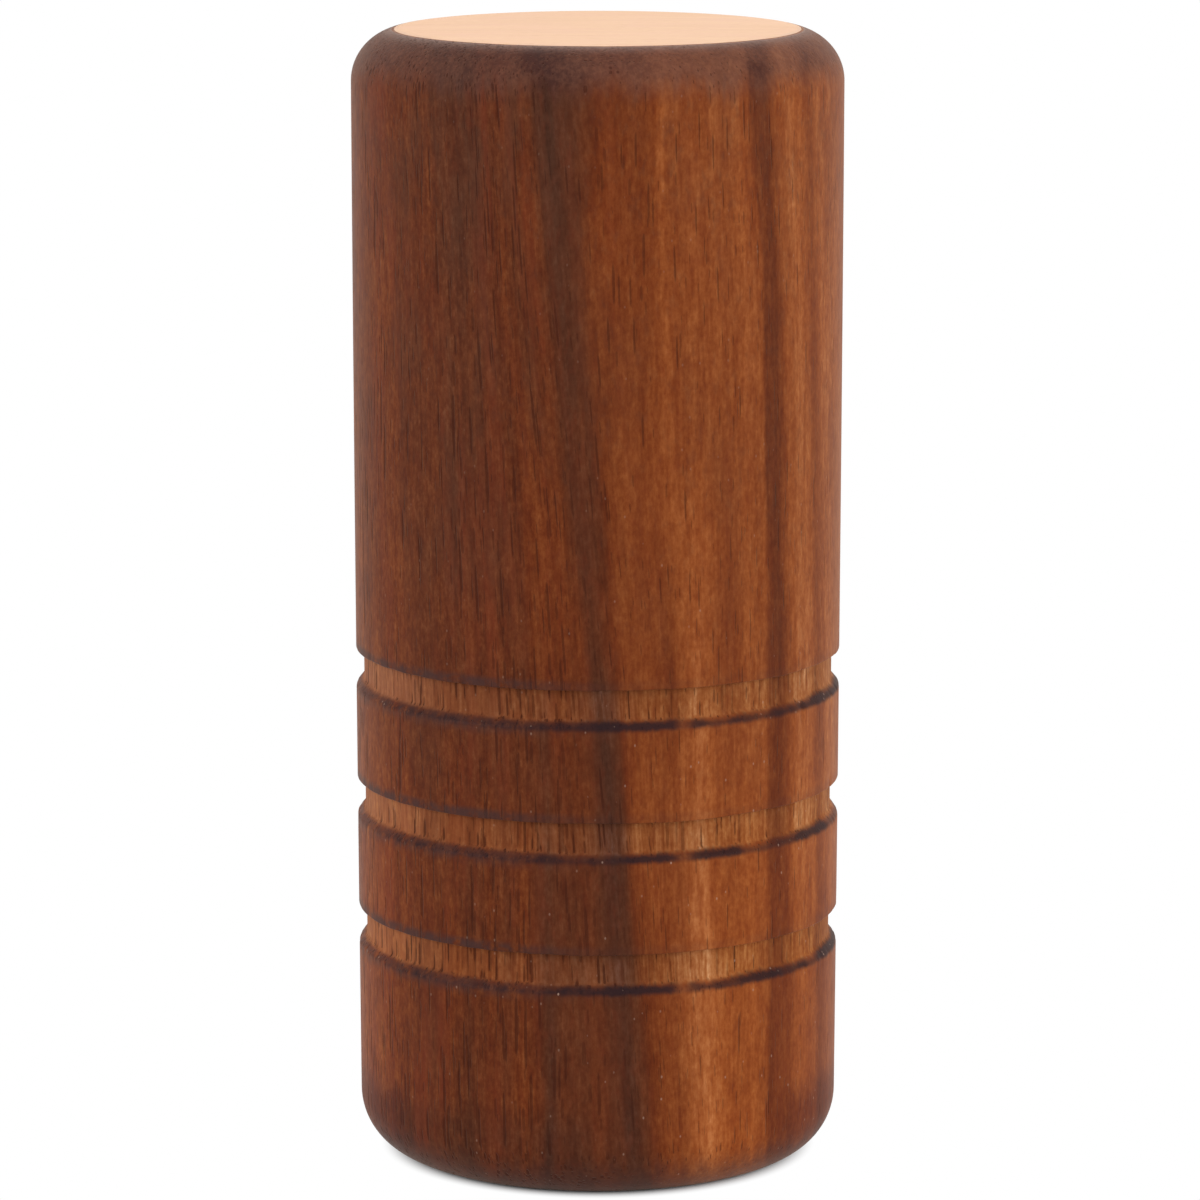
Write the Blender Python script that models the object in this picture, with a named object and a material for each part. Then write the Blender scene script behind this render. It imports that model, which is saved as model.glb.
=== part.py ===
# Wooden shaker: a turned cup of dark wood, a pale disc glued into its mouth, and loose steel shot inside.
# It stands on its foot at the origin, with +Z up its length. All sizes are in metres.

import math

import bmesh
import bpy

# Body
body_height = 0.100
body_radius = 0.0215  # of the side, at the top
side_taper = 0.00033  # how much narrower the side is at the foot
shoulder_drop = 0.0046  # the rounding at the top, measured down the side
shoulder_run = 0.0048  # the same rounding, measured in from the side
foot_rise = 0.0052  # the rounding at the foot, measured up the side
foot_run = 0.0048
floor_thickness = 0.0060  # wood left under the chamber

# Grooves round the side
groove_count = 3
groove_pitch = 0.0116
lowest_groove_height = 0.0204  # of the groove's middle
groove_width = 0.0034
groove_depth = 0.0007
groove_slope_height = 0.00085  # the lower wall slopes out over this height, and the upper wall is square

# End disc and its seat
rim_width = 0.0039  # dark wood that shows round the disc, out to the side
disc_thickness = 0.0040
ledge_width = 0.0015  # how far the disc overlaps the ledge that carries it

# Shot
shot_diameter = 0.0050
shot_spacing_gap = 0.0004  # between one ball and the next

# Clearance between faces that meet
fit_gap = 0.0003

# Facets
turning_steps = 72
rounding_steps = 7
side_steps = 3  # rings along the side from the top groove to the shoulder
shot_steps_round = 12
shot_steps_high = 8
merge_distance = 1e-6
sharp_angle = math.radians(32)

# Colours
dark_wood_color = (0.202, 0.058, 0.020, 1.0)
pale_wood_color = (0.860, 0.560, 0.375, 1.0)
steel_color = (0.560, 0.560, 0.580, 1.0)

disc_radius = body_radius - rim_width
recess_radius = disc_radius + fit_gap
bore_radius = disc_radius - ledge_width
disc_underside = body_height - disc_thickness
ledge_height = disc_underside - fit_gap


def clear_scene():
    for thing in list(bpy.data.objects):
        bpy.data.objects.remove(thing)


def make_material(name, color, roughness, metallic):
    material = bpy.data.materials.new(name)
    material.use_nodes = True
    shader = material.node_tree.nodes["Principled BSDF"]
    shader.inputs["Base Color"].default_value = color
    shader.inputs["Roughness"].default_value = roughness
    shader.inputs["Metallic"].default_value = metallic
    return material


def side_radius(height):
    # The taper grows with the square of the distance down from the top.
    return body_radius - side_taper * ((body_height - height) / body_height) ** 2


def top_height(radius):
    # Flat in the middle, then a quarter of an ellipse down to the side.
    outer = side_radius(body_height - shoulder_drop)
    past_flat = max(0.0, radius - (outer - shoulder_run)) / shoulder_run
    return body_height - shoulder_drop * (1 - math.sqrt(max(0.0, 1 - past_flat ** 2)))


def steps_between(first, last, count):
    return [first + (last - first) * step / count for step in range(count + 1)]


def foot_profile():
    outer = side_radius(foot_rise)
    points = []
    for angle in steps_between(math.pi / 2, 0.0, rounding_steps):
        radius = outer - foot_run + foot_run * math.cos(angle)
        points.append((radius, foot_rise - foot_rise * math.sin(angle)))
    return points


def groove_profile(middle):
    top = middle + groove_width / 2
    bottom = middle - groove_width / 2
    slope_end = bottom + groove_slope_height
    return [
        (side_radius(bottom), bottom),
        (side_radius(slope_end) - groove_depth, slope_end),
        (side_radius(top) - groove_depth, top),
        (side_radius(top), top),
    ]


def shoulder_profile():
    # From the side up and in to the recess, a little below the flat top.
    outer = side_radius(body_height - shoulder_drop)
    flat_radius = outer - shoulder_run
    inner_angle = math.asin(max(0.0, recess_radius - flat_radius) / shoulder_run)
    points = []
    for angle in steps_between(math.pi / 2, inner_angle, rounding_steps):
        radius = flat_radius + shoulder_run * math.sin(angle)
        points.append((radius, top_height(radius)))
    if recess_radius < flat_radius:
        points.append((recess_radius, body_height))
    return points


def turn(name, profile, material):
    # The profile runs from the axis, round the outside, and back to the axis.
    form = bmesh.new()
    points = [form.verts.new((radius, 0.0, height)) for radius, height in profile]
    edges = [form.edges.new(pair) for pair in zip(points, points[1:])]
    bmesh.ops.spin(
        form,
        geom=points + edges,
        cent=(0.0, 0.0, 0.0),
        axis=(0.0, 0.0, 1.0),
        angle=2 * math.pi,
        steps=turning_steps,
        use_merge=True,
    )
    bmesh.ops.remove_doubles(form, verts=form.verts, dist=merge_distance)
    bmesh.ops.recalc_face_normals(form, faces=form.faces)
    return make_object(name, finish_mesh(name, form, material))


def finish_mesh(name, form, material):
    mesh = bpy.data.meshes.new(name)
    form.to_mesh(mesh)
    form.free()
    mesh.materials.append(material)
    mesh.shade_smooth()
    mesh.set_sharp_from_angle(angle=sharp_angle)
    return mesh


def make_object(name, mesh, parent=None):
    thing = bpy.data.objects.new(name, mesh)
    bpy.context.scene.collection.objects.link(thing)
    thing.parent = parent
    return thing


def make_body(material):
    profile = [(0.0, 0.0)] + foot_profile()
    for index in range(groove_count):
        profile += groove_profile(lowest_groove_height + index * groove_pitch)
    side_start = profile[-1][1]
    side_end = body_height - shoulder_drop
    for height in steps_between(side_start, side_end, side_steps)[1:-1]:
        profile.append((side_radius(height), height))
    profile += shoulder_profile()
    profile += [
        (recess_radius, ledge_height),
        (bore_radius, ledge_height),
        (bore_radius, floor_thickness),
        (0.0, floor_thickness),
    ]
    return turn("body", profile, material)


def make_disc(material, body):
    flat_radius = side_radius(body_height - shoulder_drop) - shoulder_run
    profile = [(0.0, disc_underside), (disc_radius, disc_underside)]
    profile += [(disc_radius, top_height(disc_radius))]
    if flat_radius < disc_radius:
        middle = (flat_radius + disc_radius) / 2
        profile += [(middle, top_height(middle)), (flat_radius, body_height)]
    profile += [(0.0, body_height)]
    disc = turn("end_disc", profile, material)
    disc.parent = body
    return disc


def shot_places():
    # One ball in the middle, then rings of 6, 12, 18 and so on while the bore has room for them.
    spacing = shot_diameter + shot_spacing_gap
    reach = bore_radius - fit_gap - shot_diameter / 2
    places = [(0.0, 0.0)]
    for ring in range(1, int(reach / spacing) + 1):
        in_ring = 6 * ring
        for step in range(in_ring):
            angle = 2 * math.pi * step / in_ring
            places.append((ring * spacing * math.cos(angle), ring * spacing * math.sin(angle)))
    return places


def make_shot(material, body):
    form = bmesh.new()
    bmesh.ops.create_uvsphere(
        form,
        u_segments=shot_steps_round,
        v_segments=shot_steps_high,
        radius=shot_diameter / 2,
    )
    mesh = finish_mesh("shot", form, material)
    resting_height = floor_thickness + fit_gap + shot_diameter / 2
    for index, (x, y) in enumerate(shot_places()):
        ball = make_object(f"shot_{index:02d}", mesh, body)
        ball.location = (x, y, resting_height)


clear_scene()
dark_wood = make_material("dark_wood", dark_wood_color, 0.45, 0.0)
pale_wood = make_material("pale_wood", pale_wood_color, 0.60, 0.0)
steel = make_material("steel", steel_color, 0.25, 1.0)
shaker_body = make_body(dark_wood)
make_disc(pale_wood, shaker_body)
make_shot(steel, shaker_body)

# How far a ball can fly: from its place on the floor up to the underside of the disc.
shot_travel = disc_underside - floor_thickness - shot_diameter - 2 * fit_gap
print(f"shot travel {shot_travel:.5f} m, {len(shot_places())} balls")
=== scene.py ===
import math

import bpy
import numpy as np
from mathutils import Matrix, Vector


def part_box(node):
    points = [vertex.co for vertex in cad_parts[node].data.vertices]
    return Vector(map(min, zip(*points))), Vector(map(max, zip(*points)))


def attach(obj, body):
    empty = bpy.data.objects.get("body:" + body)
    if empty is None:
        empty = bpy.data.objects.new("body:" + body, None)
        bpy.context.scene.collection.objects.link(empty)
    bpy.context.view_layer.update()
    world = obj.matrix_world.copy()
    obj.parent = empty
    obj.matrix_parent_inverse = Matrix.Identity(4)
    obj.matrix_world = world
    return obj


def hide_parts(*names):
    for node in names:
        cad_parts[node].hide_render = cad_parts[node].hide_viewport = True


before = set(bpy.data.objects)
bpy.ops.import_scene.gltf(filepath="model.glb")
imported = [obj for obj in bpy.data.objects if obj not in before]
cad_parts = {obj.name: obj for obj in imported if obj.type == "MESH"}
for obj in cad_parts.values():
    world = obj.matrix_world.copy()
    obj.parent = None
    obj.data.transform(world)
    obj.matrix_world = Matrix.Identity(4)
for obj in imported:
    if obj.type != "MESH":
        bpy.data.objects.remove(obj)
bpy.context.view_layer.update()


# One socket of a node tree. Arithmetic on it adds Math nodes, and node() adds any other node.
class Wire:
    def __init__(self, tree, socket=None):
        self.tree = tree
        self.socket = socket

    # Settings are set first, then each socket gets its value or its link.
    def node(self, kind, settings=None, inputs=None, output=0):
        made = self.tree.nodes.new(kind)
        for name, value in (settings or {}).items():
            if name == "stops":
                self.fillRamp(made.color_ramp.elements, value)
            else:
                setattr(made, name, value)
        for name, value in (inputs or {}).items():
            if isinstance(value, Wire):
                self.tree.links.new(value.socket, made.inputs[name])
            else:
                made.inputs[name].default_value = value
        return Wire(self.tree, made.outputs[output] if len(made.outputs) else None)

    def fillRamp(self, elements, stops):
        while len(elements) < len(stops):
            elements.new(1.0)
        for element, (position, color) in zip(elements, stops):
            element.position = position
            element.color = (*color, 1.0)

    # Another output of the same node
    def other(self, output):
        return Wire(self.tree, self.socket.node.outputs[output])

    def math(self, operation, *values):
        return self.node("ShaderNodeMath", {"operation": operation}, dict(enumerate(values)))

    def __add__(self, value):
        return self.math("ADD", self, value)

    def __radd__(self, value):
        return self.math("ADD", value, self)

    def __sub__(self, value):
        return self.math("SUBTRACT", self, value)

    def __rsub__(self, value):
        return self.math("SUBTRACT", value, self)

    def __mul__(self, value):
        return self.math("MULTIPLY", self, value)

    def __rmul__(self, value):
        return self.math("MULTIPLY", value, self)

    def __truediv__(self, value):
        return self.math("DIVIDE", self, value)

    def __rtruediv__(self, value):
        return self.math("DIVIDE", value, self)

    def __pow__(self, value):
        return self.math("POWER", self, value)

    # 0 below low, 1 above high, an S curve between; low above high turns it round
    def step(self, low, high):
        settings = {"interpolation_type": "SMOOTHSTEP"}
        if low < high:
            inputs = {"Value": self, "From Min": low, "From Max": high}
        else:
            inputs = {"Value": self, "From Min": high, "From Max": low, "To Min": 1.0, "To Max": 0.0}
        return self.node("ShaderNodeMapRange", settings, inputs)

    # 1 at the middle, falling as a bell to about a third at one width away
    def bell(self, middle, width):
        away = (self - middle) / width
        return self.math("EXPONENT", away * away * -1.0)

    # Mixes two colours, either of which may be a wire, by this factor
    def mix(self, colorA, colorB):
        a, b = (c if isinstance(c, Wire) else (*c, 1.0) for c in (colorA, colorB))
        settings = {"data_type": "RGBA", "clamp_factor": True}
        return self.node("ShaderNodeMix", settings, {0: self, 6: a, 7: b}, 2)

    # The product of two colours
    def tinted(self, tint):
        settings = {"data_type": "RGBA", "blend_type": "MULTIPLY"}
        return self.node("ShaderNodeMix", settings, {0: 1.0, 6: self, 7: tint}, 2)

    # The place divided by a size in mm for each of X, Y and Z, then shifted to its own stretch of pattern
    def scaled(self, size, shift):
        return self.node("ShaderNodeMapping", {}, {
            "Vector": self,
            "Location": (shift, shift * 0.7, shift * 1.3),
            "Scale": tuple(1.0 / length for length in size),
        })

    # Noise from 0 to 1 whose lumps measure about size, a length for each of X, Y and Z, in mm
    def noise(self, size, detail=2.0, shift=0.0, roughness=0.5):
        inputs = {"Vector": self.scaled(size, shift), "Scale": 1.0, "Detail": detail, "Roughness": roughness}
        return self.node("ShaderNodeTexNoise", {}, inputs)

    # Distance to the nearest of scattered points, one per cell, in cells of about size, in mm.
    # An exponent above 2 makes round marks squarer.
    def cells(self, size, shift=0.0, exponent=2.0):
        inputs = {"Vector": self.scaled(size, shift), "Scale": 1.0}
        if exponent == 2.0:
            return self.node("ShaderNodeTexVoronoi", {}, inputs)
        return self.node("ShaderNodeTexVoronoi", {"distance": "MINKOWSKI"}, {**inputs, "Exponent": exponent})

    # A random number from 0 to 1 for each of the cells that this wire comes from
    def chance(self):
        return self.node("ShaderNodeSeparateColor", {}, {0: self.other("Color")})

    # A vector from three values or wires
    def vector(self, x, y, z):
        return self.node("ShaderNodeCombineXYZ", {}, {"X": x, "Y": y, "Z": z})

    # A tint that pales or darkens a brown by about as much in red as in green and blue, as dust and
    # wear do: each channel's factor = e to the power of this value x the channel's own share
    def greyTint(self):
        lift = self.math("EXPONENT", self)
        return self.vector(lift ** 0.65, lift ** 1.13, lift ** 1.72)


# A new material, a wire with the place on the object in mm, and its Principled shader
def newMaterial(name):
    material = bpy.data.materials.new(name)
    material.use_nodes = True
    tree = material.node_tree
    shader = tree.nodes["Principled BSDF"]
    place = Wire(tree).node("ShaderNodeTexCoord", {}, {}, "Object")
    place = place.node("ShaderNodeVectorMath", {"operation": "SCALE"}, {"Vector": place, "Scale": 1000.0})
    return material, place, shader


# Sets the shader's sockets. Height is in mm and becomes a bump.
def finishMaterial(place, shader, sockets, height):
    for name, value in sockets.items():
        if isinstance(value, Wire):
            place.tree.links.new(value.socket, shader.inputs[name])
        else:
            shader.inputs[name].default_value = value
    bump = place.node("ShaderNodeBump", {}, {"Height": height, "Strength": 1.0, "Distance": 0.001})
    place.tree.links.new(bump.socket, shader.inputs["Normal"])


# Points along a line through the corners, with each corner eased: a quadratic curve that leaves
# the first side a little before the corner and joins the second as far after it. Then more points,
# so that no two are further apart than the spacing.
def easedLine(corners, cuts, spacing, arcSteps=4):
    points = np.array(corners, float)
    before = np.roll(points, 1, axis=0) - points
    after = np.roll(points, -1, axis=0) - points
    before[0] = after[-1] = 0.0
    cut = np.array(cuts, float)[:, None]
    start = points + cut * before / np.maximum(np.linalg.norm(before, axis=1), 1e-9)[:, None]
    end = points + cut * after / np.maximum(np.linalg.norm(after, axis=1), 1e-9)[:, None]
    t = np.linspace(0.0, 1.0, arcSteps + 1)[None, :, None]
    curves = (1 - t) ** 2 * start[:, None] + 2 * t * (1 - t) * points[:, None] + t ** 2 * end[:, None]
    line = curves.reshape(-1, 2)
    gaps = np.linalg.norm(np.diff(line, axis=0), axis=1)
    line = line[np.concatenate([[True], gaps > 1e-7])]
    along = np.concatenate([[0.0], np.cumsum(np.linalg.norm(np.diff(line, axis=0), axis=1))])
    counts = np.maximum(1, np.ceil(np.diff(along) / spacing).astype(int))
    wanted = np.repeat(along[:-1], counts)
    stepInside = np.concatenate([np.arange(n) / n for n in counts])
    wanted = np.append(wanted + stepInside * np.repeat(np.diff(along), counts), along[-1])
    return np.stack([np.interp(wanted, along, line[:, k]) for k in (0, 1)], axis=1)


# A closed mesh from a profile (radius, height) carried round the Z axis: a point at angle a is
# (r cos a, r sin a, z). The profile starts and ends on the axis, where one point closes each pole.
# Shifts, if given, takes the grids of angle, radius and height and returns what to add to the last two.
def turnedMesh(name, profile, around, shifts=None):
    angle = np.linspace(0.0, 2 * np.pi, around, endpoint=False)[None, :]
    radius = np.repeat(profile[1:-1, :1], around, axis=1)
    height = np.repeat(profile[1:-1, 1:], around, axis=1)
    if shifts:
        addRadius, addHeight = shifts(angle, radius, height)
        radius, height = radius + addRadius, height + addHeight
    ringPoints = np.stack([radius * np.cos(angle), radius * np.sin(angle), height], axis=2)
    rings = len(ringPoints)
    points = np.concatenate([ringPoints.reshape(-1, 3), [[0, 0, profile[0, 1]], [0, 0, profile[-1, 1]]]])
    index = np.arange(rings * around).reshape(rings, around)
    beside = np.roll(index, -1, axis=1)
    quads = np.stack([index[:-1], beside[:-1], beside[1:], index[1:]], axis=2).reshape(-1, 4)
    firstPole, lastPole = rings * around, rings * around + 1
    firstFan = np.stack([np.full(around, firstPole), beside[0], index[0]], axis=1)
    lastFan = np.stack([index[-1], beside[-1], np.full(around, lastPole)], axis=1)
    mesh = bpy.data.meshes.new(name)
    mesh.from_pydata(points, [], quads.tolist() + firstFan.tolist() + lastFan.tolist())
    mesh.shade_smooth()
    mesh.validate()
    return mesh


# A value that changes smoothly round the turn: a sum of waves a whole number of times round,
# each with its own phase, weaker as they get finer, brought to a spread of about 1.
def unevenness(angle, seed, finest, fade):
    random = np.random.default_rng(seed)
    waves = np.arange(1, finest + 1)[:, None]
    weights = waves ** -fade * random.normal(size=(finest, 1))
    total = (weights * np.cos(waves * angle + random.uniform(0, 2 * np.pi, (finest, 1)))).sum(axis=0)
    return total / total.std()


# Links a piece, ties it to its body and hides the node it stands for.
def addPiece(name, mesh, material, body, node):
    piece = bpy.data.objects.new(name, mesh)
    bpy.context.scene.collection.objects.link(piece)
    mesh.materials.append(material)
    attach(piece, body)
    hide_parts(node)
    return piece


cup = {
    "height": 0.100,
    "sideRadius": 0.0215,
    "taper": 0.00033,  # narrower at the foot, growing with the square of the distance from the top
    "shoulderDrop": 0.0046,
    "shoulderRun": 0.0048,
    "footRise": 0.0052,
    "footRun": 0.0048,
    "grooveBottoms": (0.0187, 0.0303, 0.0419),
    "groovePitch": 0.0116,
    "grooveWidth": 0.0034,
    "grooveDepth": 0.0007,
    "slopeHeight": 0.00085,  # the lower wall leans out over this height
    "seatRadius": 0.01775,
    "ledgeHeight": 0.0957,
    "boreRadius": 0.0161,
    "floorHeight": 0.0060,
    "edgeEase": 0.00014,
    "slopeEase": 0.00022,
    "seatEase": 0.00003,
    "floorEase": 0.0012,
    "spacing": 0.0011,
    "around": 432,
}


# Side radius = top radius - taper x (distance below the top / height) squared
def sideRadius(height):
    return cup["sideRadius"] - cup["taper"] * ((cup["height"] - height) / cup["height"]) ** 2


# Flat in the middle, then a quarter of an ellipse down to the side
def topHeight(radius):
    flat = sideRadius(cup["height"] - cup["shoulderDrop"]) - cup["shoulderRun"]
    past = np.clip((radius - flat) / cup["shoulderRun"], 0.0, 1.0)
    return cup["height"] - cup["shoulderDrop"] * (1 - np.sqrt(1 - past ** 2))


# The cup's profile: from the foot's middle out, up the side with its grooves, over the shoulder,
# down the disc's seat to the ledge, down the bore and in over the chamber's floor.
def cupProfile():
    turn = np.linspace(0.0, np.pi / 2, 21)
    outer = sideRadius(cup["footRise"])
    footRadius = outer - cup["footRun"] * (1 - np.sin(turn))
    footHeight = cup["footRise"] * (1 - np.cos(turn))
    corners = [(0.0, 0.0)] + list(zip(footRadius, footHeight))
    cuts = [0.0] * len(corners)
    for bottom in cup["grooveBottoms"]:
        slopeEnd, top = bottom + cup["slopeHeight"], bottom + cup["grooveWidth"]
        corners += [
            (sideRadius(bottom), bottom),
            (sideRadius(slopeEnd) - cup["grooveDepth"], slopeEnd),
            (sideRadius(top) - cup["grooveDepth"], top),
            (sideRadius(top), top),
        ]
        cuts += [cup["slopeEase"], cup["slopeEase"], cup["edgeEase"], cup["edgeEase"]]
    sideTop = cup["height"] - cup["shoulderDrop"]
    flat = sideRadius(sideTop) - cup["shoulderRun"]
    reach = math.asin((cup["seatRadius"] - flat) / cup["shoulderRun"])
    shoulder = flat + cup["shoulderRun"] * np.sin(np.linspace(np.pi / 2, reach, 25))
    middles = np.linspace(cup["grooveBottoms"][-1] + cup["grooveWidth"], sideTop, 9)[1:-1]
    corners += list(zip(sideRadius(middles), middles))
    corners += list(zip(shoulder, topHeight(shoulder)))
    cuts += [0.0] * (len(middles) + len(shoulder) - 1) + [cup["seatEase"]]
    corners += [
        (cup["seatRadius"], cup["ledgeHeight"]),
        (cup["boreRadius"], cup["ledgeHeight"]),
        (cup["boreRadius"], cup["floorHeight"]),
        (0.0, cup["floorHeight"]),
    ]
    cuts += [cup["edgeEase"], cup["edgeEase"] * 2, cup["floorEase"], 0.0]
    return easedLine(corners, cuts, cup["spacing"])


faults = {
    "innermost": 0.0192,  # points nearer to the axis than this stay as they are
    "depthReach": 0.0006,
    "heightReach": 0.00035,
    # height above the groove's bottom edge, wander, chip depth, seed
    "edges": ((0.0, 0.00005, 0.00009, 11), (cup["grooveWidth"], 0.000025, 0.00008, 31)),
    "lineWaves": (60, 0.6),  # the finest wave round the turn, and how fast finer ones fade
    "chipWaves": (150, 0.15),
    "chipsAbove": 1.1,  # only the unevenness above this many spreads chips the edge
    "deepestChip": 1.6,
}


# Small faults of the turning: each groove's outer edges wander up and down and are chipped inwards.
# Each fault = a bell round the edge's height x an uneven depth round the turn.
def cupFaults(angle, radius, height):
    addRadius = np.zeros(radius.shape)
    addHeight = np.zeros(radius.shape)
    outside = np.clip(1 - (sideRadius(height) - radius) / faults["depthReach"], 0.0, 1.0)
    outside = outside * (radius > faults["innermost"])
    for number, bottom in enumerate(cup["grooveBottoms"]):
        for rise, wander, chip, seed in faults["edges"]:
            edge = bottom + rise
            near = np.exp(-((height - edge) / faults["heightReach"]) ** 2) * outside
            line = unevenness(angle, seed + number, *faults["lineWaves"])
            chips = unevenness(angle, seed + number + 7, *faults["chipWaves"])
            chips = np.clip(chips - faults["chipsAbove"], 0.0, faults["deepestChip"])
            addHeight = addHeight + near * wander * line
            addRadius = addRadius - near * chip * chips
    return addRadius, addHeight


darkWood = {
    "layerCurve": 0.0045,  # the layers bend away towards the back, with the square of the depth
    "lean": (2.85, -0.0815, -0.00014),  # the layers' path up the front
    "tones": [
        (0.00, (0.048, 0.0152, 0.0072)),
        (0.18, (0.078, 0.0195, 0.0062)),
        (0.36, (0.117, 0.0232, 0.0042)),
        (0.60, (0.184, 0.0410, 0.0074)),
        (0.80, (0.250, 0.0620, 0.0125)),
        (1.00, (0.340, 0.1020, 0.0280)),
    ],
    "haze": (0.084, 0.0330, 0.0170),  # a greyer cast that comes and goes
    "red": (0.160, 0.0260, 0.0080),  # and a redder one
    "endDark": (0.036, 0.0138, 0.0120),
    "endPale": (0.165, 0.0670, 0.0410),
    # painted sheen: the grey pink laid on the shoulder near the disc, where the white surroundings would
    # reflect
    "dustAndSheen": (0.255, 0.1550, 0.1270),
    # painted highlight: the pale line along the seam beside the disc, laid over the crease's shade
    "seamHighlight": (0.420, 0.3250, 0.2850),
    "smudges": ((-5.6, 98.9, 1.1), (-4.0, 96.7, 1.0), (13.6, 97.6, 1.1), (18.3, 98.0, 1.3)),
    "rawLeft": (1.66, 1.98, 2.00),  # the grooves' bare wood is this much paler than the side
    "rawRight": (1.30, 1.72, 2.25),
    "rawPlain": (0.190, 0.0540, 0.0190),
    "rawSideLit": (0.325, 0.1380, 0.0740),
    "burn": (0.016, 0.0062, 0.0082),
    "smear": (0.046, 0.0218, 0.0205),
    "poreDark": (0.036, 0.0060, 0.0018),
    "speck": (0.420, 0.2700, 0.2000),
    "longPores": (0.38, 0.38, 8.5),
    "shortPores": (0.34, 0.34, 3.2),
    "rawPores": (0.50, 0.50, 6.5),
    "poreSquareness": 3.5,
    "sheen": 0.11,  # dust and wax that pale the wood where it is seen at a slant
}


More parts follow.
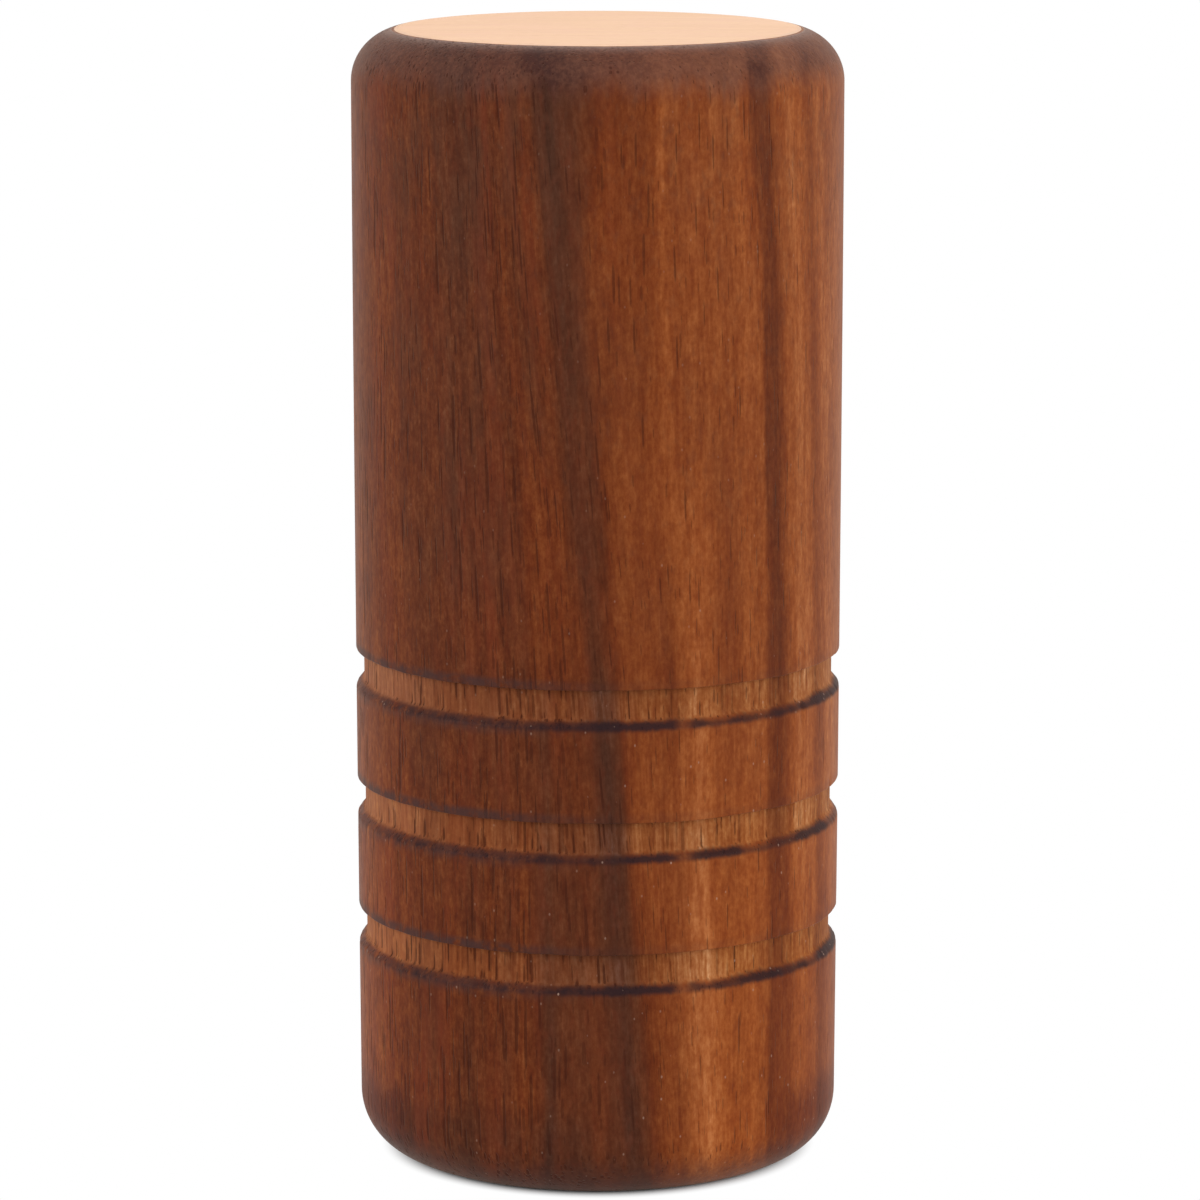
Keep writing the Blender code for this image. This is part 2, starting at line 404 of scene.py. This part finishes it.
# Dark turned wood. Tone = a step from the browner to the more orange side, less the dark layers,
# plus the pale ones, plus noise stretched up the grain. Pores are stretched cells, dashes on the side
# and dots on the end grain. Heights and depth under the side tell shoulder, foot and grooves apart.
def makeDarkWood():
    material, place, shader = newMaterial("oiledDarkWood")
    x = place.node("ShaderNodeSeparateXYZ", {}, {0: place})
    y, z = x.other(1), x.other(2)

    wander = (place.noise((24, 24, 60), 2.0, 3.1) - 0.5) * 2.6
    fromFront = y + 21.5
    across = x + fromFront * fromFront * darkWood["layerCurve"] + wander
    start, slope, bend = darkWood["lean"]
    lean = start + (z - 15.5) * slope + (z - 15.5) * (z - 41.0) * bend
    follow = 0.30 + 0.70 * (across - lean).bell(0.0, 5.0)
    grain = across - lean * follow  # distance from the darkest layer, in mm
    fibre = place.vector(grain, y, z)
    lowDown = z.step(75.0, 25.0)
    leftward = x.step(3.0, -12.0)

    # depth under the side, and where the grooves and the chamber show bare wood
    radius = (x * x + y * y) ** 0.5
    depth = 21.5 - 0.000033 * (100.0 - z) * (100.0 - z) - radius
    onSide = z.step(5.4, 6.4) * z.step(95.4, 94.4)
    inCup = radius.step(18.0, 17.9) * z.step(5.2, 5.4)
    raw = depth.step(0.35, 0.62) * onSide
    raw = raw + inCup - raw * inCup

    # tone from the growth layers: browner on one side of the darkest, more orange on the other
    wobble = (fibre.noise((5, 9, 22), 2.0, 8.0) - 0.5) * 1.1
    layer = grain + wobble
    footward = z.step(34.0, 20.0)
    high = z.step(80.0, 92.0)
    rightOf = layer - 0.5 * footward - 1.05 * high
    softer = 1.0 - 0.45 * footward
    tone = 0.30 + 0.02 * lowDown + (0.15 + 0.15 * lowDown) * softer * rightOf.step(0.9, 2.6)
    tone = tone + (0.14 - 0.12 * lowDown) * rightOf.step(2.0, 8.0) + 0.08 * layer.step(5.6, 7.0)
    tone = tone + 0.13 * footward * layer.step(1.8, 5.0)
    streak = layer.bell(-0.1, 1.35 + 0.45 * footward)
    tone = tone - (0.18 + 0.10 * lowDown - 0.05 * footward) * streak * (1.0 - 0.30 * z.bell(50.0, 7.0))
    tone = tone - 0.17 * layer.bell(-9.0, 2.5) * z.step(72.0, 92.0) - 0.07 * layer.bell(-12.2, 1.1)
    tone = tone - 0.19 * layer.bell(-5.4, 0.8) * z.step(48.0, 40.0) - 0.08 * layer.bell(1.2, 0.9) * high
    tone = tone + 0.12 * layer.bell(-3.2, 2.2) * z.bell(54.0, 12.0) - 0.08 * layer.bell(-3.0, 1.2) * footward
    # painted sheen, partly the wood's own tone: the far left of the side is paler, more so low down
    tone = tone + (0.11 + 0.17 * lowDown) * x.step(-15.0, -20.5) + 0.07 * layer.bell(7.5, 1.0) * high
    tone = tone + (0.13 + 0.12 * footward) * layer.bell(8.6, 1.2 + 0.8 * footward) * z.step(72.0, 56.0)
    tone = tone - 0.20 * layer.bell(6.2, 0.8) * z.bell(47.0, 9.0)
    tone = tone - 0.10 * layer.bell(6.9, 0.7) * z.bell(27.0, 6.0)
    tone = tone + (0.09 * z.step(47.0, 42.0) - 0.05 * z.step(84.0, 74.0)) * layer.bell(11.0, 0.9)
    tone = tone + 0.07 * layer.bell(12.8, 0.8) - 0.13 * x.step(1.0, -3.0) * z.step(9.0, 5.5)
    stripe = (layer + 0.5 * high).step(14.3, 14.8) * (layer - 0.9 * footward).step(16.8, 15.4)
    tone = tone - (0.33 - 0.09 * footward) * stripe - 0.24 * layer.bell(19.6, 0.6)
    tone = tone + (0.17 - 0.16 * footward) * layer.step(15.8, 17.6)

    # fibres of several widths, a fine grit across them, clouds in the finish, and wear that only pales
    # or darkens the colour
    broad = fibre.noise((2.4, 8, 45), 2.0, 1.0) - 0.5
    medium = fibre.noise((0.8, 2.6, 16), 3.0, 2.0) - 0.5
    fine = fibre.noise((0.26, 0.40, 4.0), 2.0, 5.0) - 0.5
    grit = place.noise((0.34, 0.34, 0.62), 3.0, 15.0, 0.65) - 0.5
    mottle = place.noise((0.85, 0.85, 1.7), 2.0, 37.0) - 0.5
    cloud = place.noise((6, 6, 12), 3.0, 6.0) - 0.5
    tone = tone + 0.30 * broad + 0.16 * medium + 0.04 * fine + 0.06 * mottle + 0.18 * cloud
    color = tone.node("ShaderNodeValToRGB", {"stops": darkWood["tones"]}, {"Fac": tone})
    wear = 1.30 * grit + 0.75 * mottle + 0.72 * fine + 0.48 * medium
    wear = wear * (1.0 + 0.45 * leftward) * (1.0 + 0.25 * raw)
    color = color.tinted(wear.greyTint())
    redder = fibre.noise((1.3, 4, 24), 2.0, 33.0).step(0.42, 0.74) * (0.10 + 0.28 * leftward)
    redder = redder + 0.14 * place.noise((0.5, 0.5, 1.4), 2.0, 39.0).step(0.48, 0.76)
    color = redder.mix(color, darkWood["red"])
    haze = fibre.noise((2.6, 5, 12), 3.0, 17.0).step(0.42, 0.76) * (0.14 + 0.20 * leftward)
    haze = haze + 0.16 * place.noise((0.6, 0.6, 1.2), 2.0, 47.0).step(0.50, 0.76)
    color = (haze * (1.0 - 0.62 * lowDown + 0.5 * high)).mix(color, darkWood["haze"])

    # pores as fine dashes, more of them in some layers than in others, and wider ones on bare wood
    crowd = fibre.noise((1.6, 5, 30), 1.0, 12.0).step(0.25, 0.62) * (0.4 + 0.6 * grain.step(3.0, -5.0))
    pores = 0.0
    for cell, shift, strength in ((darkWood["longPores"], 0.0, 1.0), (darkWood["shortPores"], 9.0, 0.7)):
        pore = fibre.cells(cell, shift, darkWood["poreSquareness"])
        size = 0.06 + (0.08 + 0.24 * crowd) * pore.chance()
        pores = pores + strength * (size - pore).step(-0.02, 0.06)
    pore = fibre.cells(darkWood["rawPores"], 61.0, darkWood["poreSquareness"])
    wide = (0.12 + 0.20 * pore.chance() - pore).step(-0.03, 0.06)
    pores = pores * (1.0 - 0.35 * raw * leftward) + wide * raw * (0.45 + 0.35 * leftward)
    pores = pores.math("MINIMUM", pores, 1.0)

    # height within the groove: 0 at its lower edge, 3.4 at its upper one, negative just below it
    rise = z.math("WRAP", z - 18.7, cup["groovePitch"] * 1000.0 - 2.5, -2.5)
    grooves = z.step(16.2, 16.6) * z.step(46.8, 46.4) * (1.0 - inCup)
    ring = place.vector(x, y, z * 4.0)
    uneven = ring.noise((1.3, 1.3, 30), 3.0, 21.0) - 0.5
    patch = ring.noise((6, 6, 30), 2.0, 23.0)
    burnTop = 0.56 - 0.26 * leftward + (0.50 + 0.35 * leftward) * uneven + 0.9 * (patch - 0.5)
    burnTop = burnTop + 0.25 * fine + (0.5 + 0.3 * leftward) * grit
    burn = (burnTop - rise).step(-0.30, 0.30) * (rise + 0.4 * uneven + 0.4 * grit).step(-0.38, 0.10)
    burn = burn * (0.66 + 0.34 * patch.step(0.34, 0.50)) * grooves
    burn = burn * (1.0 - (0.50 + 2.4 * grit + 1.4 * mottle) * leftward) * (1.0 - 0.8 * x.step(-17.2, -20.8))
    burn = burn * (1.0 - 0.55 * x.bell(7.4, 0.7) * y.step(0.0, -5.0))
    below = rise.step(-1.1, 0.0) * rise.step(0.9, 0.3) * (0.06 + 0.64 * leftward)
    above = rise.step(3.25, 3.5) * rise.step(4.5, 3.8) * (0.15 + 0.85 * leftward)
    smear = (below + above) * ring.noise((1.2, 1.2, 5), 3.0, 29.0, 0.65).step(0.26, 0.58) * grooves

    # end grain shows on the shoulder and the foot's rounding, with painted sheen paling it near the disc, a
    # painted highlight on the seam, painted shade darkening it towards the floor, and a few smudges
    edge = z + 2.4 * cloud + 3.0 * medium
    endGrain = (edge.step(94.8, 98.0) + 0.65 * edge.step(4.4, 1.4)) * (1.0 - inCup)
    speckle = place.noise((0.34, 0.34, 0.50), 3.0, 41.0, 0.65).step(0.36, 0.68)
    blotch = place.noise((1.7, 1.7, 1.7), 3.0, 43.0).step(0.35, 0.65)
    smudges = 0.0
    for middle, height, width in darkWood["smudges"]:
        smudges = smudges + x.bell(middle, width) * z.bell(height, width)
    smudges = smudges * y.step(2.0, -4.0)
    endTone = 0.24 + 0.32 * speckle + 0.16 * blotch + 0.60 * (tone - 0.40)
    # painted shade: the end grain darkens towards the floor, down to 0.4 at the very bottom, on top of its
    # own dark tone
    endTone = (endTone - 0.30 * smudges) * (0.40 + 0.60 * z.step(0.8, 5.5)) - 0.06 * z.step(97.0, 99.6)
    endColor = endTone.mix(darkWood["endDark"], darkWood["endPale"])
    # painted sheen: near the disc the shoulder's end grain is paled towards a grey pink, mottled by the grit
    sheenRing = radius.step(19.4, 17.8) * z.step(98.0, 99.0)
    endColor = (sheenRing * (0.46 + 1.4 * grit)).mix(endColor, darkWood["dustAndSheen"])
    # painted highlight: a pale line along the seam, over the shade of the crease
    endColor = (radius.step(18.15, 17.8) * sheenRing * 0.7).mix(endColor, darkWood["seamHighlight"])

    # bare wood: the side's colour made paler, evened out towards a plain tan on the left, with painted side
    # light making the far left front paler still
    rawTint = leftward.mix(darkWood["rawRight"], darkWood["rawLeft"])
    # painted side light: the bare wood at the far left front is paler
    plain = (x.step(-11.0, -19.5) * y.step(2.0, -3.0)).mix(darkWood["rawPlain"], darkWood["rawSideLit"])
    bare = (0.18 + 0.30 * leftward).mix(color.tinted(rawTint), plain)
    bare = bare.tinted((0.70 * fine + 0.30 * medium - 0.01).greyTint())
    color = raw.mix(color, bare)
    color = (endGrain * 0.75 + 0.25 * sheenRing).mix(color, endColor)

    # the sides are a little less blue low down, the foot's rounding redder, and its two ends deep in shade
    lowSides = z.step(50.0, 20.0) * (x * x).step(50.0, 130.0)
    rounding = z.step(9.5, 6.0)
    ends = rounding * (x * x).step(200.0, 320.0)
    color = color.tinted(place.vector(1.0 + 0.06 * lowSides + 0.04 * rounding - 0.46 * ends,
                                      1.0 + 0.03 * rounding - 0.54 * ends,
                                      1.0 - 0.16 * lowSides + 0.02 * rounding - 0.43 * ends))
    poreDepth = pores * (0.46 + 0.14 * leftward + 0.22 * raw)
    color = poreDepth.mix(color, darkWood["poreDark"])
    color = (smear * 0.80).mix(color, darkWood["smear"])
    color = (burn * 0.92).mix(color, darkWood["burn"])

    # pale dust in a few pores, most of it low and to the right, and along the grooves' lips
    dustAndSheen = place.cells((0.8, 0.8, 1.2), 51.0)
    dustChance = dustAndSheen.chance()
    nearLip = rise.bell(0.1, 0.45) * grooves
    dusty = dustChance.step(0.66, 0.80) * (0.55 + 0.45 * x.step(-4.0, 8.0)) * (0.35 + 0.65 * lowDown)
    dusty = dusty + nearLip * dustChance.step(0.30, 0.50)
    specks = dustAndSheen.step(0.14, 0.05) * dusty
    color = (specks * 0.42).mix(color, darkWood["speck"])

    roughness = 0.50 + 0.10 * fine + 0.10 * pores + 0.16 * raw + 0.10 * (cloud + 0.5)
    height = 0.010 * fine + 0.008 * grit - 0.040 * pores
    height = height + 0.010 * speckle * endGrain + 0.03 * uneven * burn
    finishMaterial(place, shader, {
        "Base Color": color,
        "Roughness": roughness,
        "Specular IOR Level": 0.08,
        "Sheen Weight": darkWood["sheen"],
        "Sheen Roughness": 0.35,
        "Sheen Tint": (1.0, 0.77, 0.57, 1.0),
    }, height)
    return material


cupPiece = addPiece("turnedCup", turnedMesh("turnedCup", cupProfile(), cup["around"], cupFaults),
                    makeDarkWood(), "shaker", "body")
print("cup turned:", len(cupPiece.data.polygons), "faces")

disc = {
    "radius": 0.01773,
    "underside": 0.0960,
    "edgeEase": 0.00004,
    "lowerEase": 0.0004,
    "spacing": 0.0009,
    "around": 288,
}


# The disc's profile: out over its underside, up its edge, in over its top, which follows the cup's.
def discProfile():
    flat = sideRadius(cup["height"] - cup["shoulderDrop"]) - cup["shoulderRun"]
    rim = np.linspace(disc["radius"], flat, 6)
    corners = [(0.0, disc["underside"]), (disc["radius"], disc["underside"])]
    corners += list(zip(rim, topHeight(rim))) + [(0.0, cup["height"])]
    cuts = [0.0, disc["lowerEase"], disc["edgeEase"]] + [0.0] * (len(corners) - 3)
    return easedLine(corners, cuts, disc["spacing"])


paleWood = {
    "tones": [
        (0.00, (0.640, 0.370, 0.220)),
        (0.45, (0.800, 0.500, 0.310)),
        (0.75, (0.860, 0.565, 0.365)),
        (1.00, (0.920, 0.650, 0.450)),
    ],
    "pink": (0.820, 0.500, 0.355),
    "fleck": (0.580, 0.310, 0.175),
    "edgeGrey": (0.470, 0.380, 0.335),
}


# Pale sanded wood with its fibres along X. Tone = noise stretched along the fibres at three widths,
# with short darker flecks, and a little grey at the edge, more of it at the back.
def makePaleWood():
    material, place, shader = newMaterial("sandedPaleWood")
    x = place.node("ShaderNodeSeparateXYZ", {}, {0: place})
    y, z = x.other(1), x.other(2)
    bend = (place.noise((16, 16, 16), 1.0, 4.0) - 0.5) * 2.0
    fibre = place.vector(x, y + bend + 0.004 * x * x, z)
    broad = fibre.noise((40, 2.8, 2.0), 2.0, 1.0) - 0.5
    fine = fibre.noise((9, 0.35, 0.35), 3.0, 2.0) - 0.5
    hair = fibre.noise((3.5, 0.12, 0.12), 2.0, 3.0) - 0.5
    grit = place.noise((0.8, 0.34, 0.34), 3.0, 19.0, 0.65) - 0.5
    tone = 0.55 + 0.45 * broad + 0.60 * fine + 0.30 * hair + 0.55 * grit
    color = tone.node("ShaderNodeValToRGB", {"stops": paleWood["tones"]}, {"Fac": tone})
    pinker = fibre.noise((5, 1.6, 1.6), 3.0, 27.0).step(0.42, 0.68)
    color = (pinker * 0.45).mix(color, paleWood["pink"])
    fleck = fibre.cells((2.4, 0.50, 0.50), 9.0)
    flecks = (0.05 + 0.15 * fleck.chance() - fleck).step(-0.02, 0.05)
    color = (flecks * 0.32).mix(color, paleWood["fleck"])
    radius = (x * x + y * y) ** 0.5
    edge = radius.step(17.15, 17.62) * place.noise((1.5, 1.5, 1.5), 3.0, 13.0).step(0.25, 0.75)
    color = (edge * (0.30 + 0.30 * y.step(6.0, 14.0))).mix(color, paleWood["edgeGrey"])
    roughness = 0.58 + 0.14 * fine + 0.08 * flecks
    finishMaterial(place, shader, {
        "Base Color": color,
        "Roughness": roughness,
        "Specular IOR Level": 0.25,
    }, 0.010 * fine + 0.006 * hair - 0.012 * flecks)
    return material


discPiece = addPiece("closingDisc", turnedMesh("closingDisc", discProfile(), disc["around"]),
                     makePaleWood(), "shaker", "end_disc")
print("disc turned:", len(discPiece.data.polygons), "faces")

shot = {
    "radius": 0.0025,
    "dents": 26,
    "dentDepth": 0.000045,
    "dentWidth": 0.20,  # as an angle seen from the ball's middle
    "round": 40,
    "high": 24,
}


# A steel ball: radius x (1 - dents), where each dent is a bell of the angle from its own direction.
def ballMesh(name, middle, seed):
    random = np.random.default_rng(seed)
    spots = random.normal(size=(shot["dents"], 3))
    spots = spots / np.linalg.norm(spots, axis=1)[:, None]
    depth = shot["dentDepth"] * random.uniform(0.2, 1.0, shot["dents"])
    width = shot["dentWidth"] * random.uniform(0.6, 1.6, shot["dents"])
    tilt = np.linspace(-np.pi / 2, np.pi / 2, shot["high"] + 1)
    profile = np.stack([shot["radius"] * np.cos(tilt), shot["radius"] * np.sin(tilt)], axis=1)
    mesh = turnedMesh(name, profile, shot["round"])
    points = np.empty(len(mesh.vertices) * 3)
    mesh.vertices.foreach_get("co", points)
    outward = points.reshape(-1, 3) / shot["radius"]
    apart = np.arccos(np.clip(outward @ spots.T, -1.0, 1.0))
    size = shot["radius"] - (depth * np.exp(-(apart / width) ** 2)).sum(axis=1)
    mesh.vertices.foreach_set("co", (outward * size[:, None] + np.array(middle)).ravel())
    mesh.update()
    return mesh


steel = {"color": (0.56, 0.56, 0.58), "dull": (0.36, 0.34, 0.33)}


# Tumbled steel: colour and roughness change with clouds, fine scratches and small dull spots.
def makeSteel():
    material, place, shader = newMaterial("tumbledSteel")
    cloud = place.noise((1.6, 1.6, 1.6), 3.0, 2.0)
    scratch = place.noise((0.05, 0.9, 0.9), 3.0, 4.0) - 0.5
    spots = place.cells((0.5, 0.5, 0.5), 6.0).step(0.16, 0.05)
    color = (0.55 * cloud.step(0.45, 0.75) + 0.35 * spots).mix(steel["color"], steel["dull"])
    finishMaterial(place, shader, {
        "Base Color": color,
        "Metallic": 1.0,
        "Roughness": 0.20 + 0.20 * cloud + 0.16 * scratch + 0.20 * spots,
    }, 0.003 * scratch - 0.004 * spots)
    return material


steelFinish = makeSteel()
ballNodes = sorted(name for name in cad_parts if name.startswith("shot_"))
for number, node in enumerate(ballNodes):
    low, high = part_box(node)
    name = "steelBall" + node[-3:]
    addPiece(name, ballMesh(name, (low + high) / 2, 100 + number), steelFinish,
             "ball" + node[-3:], node)
print("balls placed:", len(ballNodes))

studio = {
    "fill": 0.70,  # the world's light on the object
    "floorColor": (0.80, 0.80, 0.80),
    "shadowFrom": 17.0,  # mm from the middle, where the floor starts to be bleached white
    "shadowTo": 19.6,
    "floorReach": 3.0,
}


# 1 for what the camera sees and for what shines or shows through, 0 for light on the object
def seenDirectly(wire):
    path = wire.node("ShaderNodeLightPath", {}, {}, "Is Camera Ray")
    seen = path + path.other("Is Glossy Ray") + path.other("Is Transmission Ray")
    return seen.math("MINIMUM", seen, 1.0)


# The world is white to the eye and plain soft light to the object.
def makeWorld():
    world = bpy.data.worlds.new("softWorld")
    bpy.context.scene.world = world
    world.use_nodes = True
    wire = Wire(world.node_tree)
    background = world.node_tree.nodes["Background"]
    background.inputs["Color"].default_value = (1.0, 1.0, 1.0, 1.0)
    strength = studio["fill"] + (1.0 - studio["fill"]) * seenDirectly(wire)
    world.node_tree.links.new(strength.socket, background.inputs["Strength"])


# A pale floor that keeps the object's shadow. Away from the object what is seen of it turns white:
# share of white = an S curve of the distance from the middle.
def makeFloor():
    reach = studio["floorReach"]
    mesh = bpy.data.meshes.new("floor")
    mesh.from_pydata([(-reach, -reach, 0), (reach, -reach, 0), (reach, reach, 0), (-reach, reach, 0)],
                     [], [(0, 1, 2, 3)])
    floor = bpy.data.objects.new("floor", mesh)
    bpy.context.scene.collection.objects.link(floor)
    material = bpy.data.materials.new("paleFloor")
    material.use_nodes = True
    shader = material.node_tree.nodes["Principled BSDF"]
    shader.inputs["Base Color"].default_value = (*studio["floorColor"], 1.0)
    shader.inputs["Roughness"].default_value = 0.9
    shader.inputs["Specular IOR Level"].default_value = 0.0
    place = Wire(material.node_tree).node("ShaderNodeTexCoord", {}, {}, "Object")
    away = place.node("ShaderNodeVectorMath", {"operation": "LENGTH"}, {0: place}, 1) * 1000.0
    white = away.step(studio["shadowFrom"], studio["shadowTo"]) * seenDirectly(place)
    bare = Wire(material.node_tree, shader.outputs[0])
    glow = place.node("ShaderNodeEmission", {}, {"Color": (1.0, 1.0, 1.0, 1.0), "Strength": 1.0})
    surface = place.node("ShaderNodeMixShader", {}, {0: white, 1: bare, 2: glow})
    output = material.node_tree.nodes["Material Output"]
    material.node_tree.links.new(surface.socket, output.inputs["Surface"])
    mesh.materials.append(material)


lamps = {
    "topBox": {"place": (0.10, -0.25, 0.95), "size": 0.70, "power": 2.35},
    "frontLeftBox": {"place": (-0.98, -0.48, 0.45), "size": 0.60, "power": 4.3},
    "frontRightBox": {"place": (0.95, -0.60, 0.45), "size": 0.60, "power": 4.8},
}


# A square lamp that faces the object's middle
def makeLamp(name, place, size, power):
    light = bpy.data.lights.new(name, "AREA")
    light.shape = "SQUARE"
    light.size = size
    light.energy = power
    lamp = bpy.data.objects.new(name, light)
    bpy.context.scene.collection.objects.link(lamp)
    lamp.location = place
    toward = Vector((0.0, 0.0, 0.05)) - lamp.location
    lamp.rotation_euler = toward.to_track_quat("-Z", "Y").to_euler()


makeWorld()
makeFloor()
for name, settings in lamps.items():
    makeLamp(name, **settings)
print("studio lit")

view = {"place": (0.00020, -0.5194, 0.1443), "down": 10.365, "lens": 178.90, "sensor": 36.0}
camera = bpy.data.objects.new("camera", bpy.data.cameras.new("camera"))
bpy.context.scene.collection.objects.link(camera)
camera.location = view["place"]
camera.rotation_euler = (math.radians(90.0 - view["down"]), 0.0, 0.0)
camera.data.sensor_width = view["sensor"]
camera.data.lens = view["lens"]
camera.data.clip_start = 0.01
bpy.context.scene.camera = camera
bpy.context.scene.view_settings.view_transform = "Standard"
print("camera set")
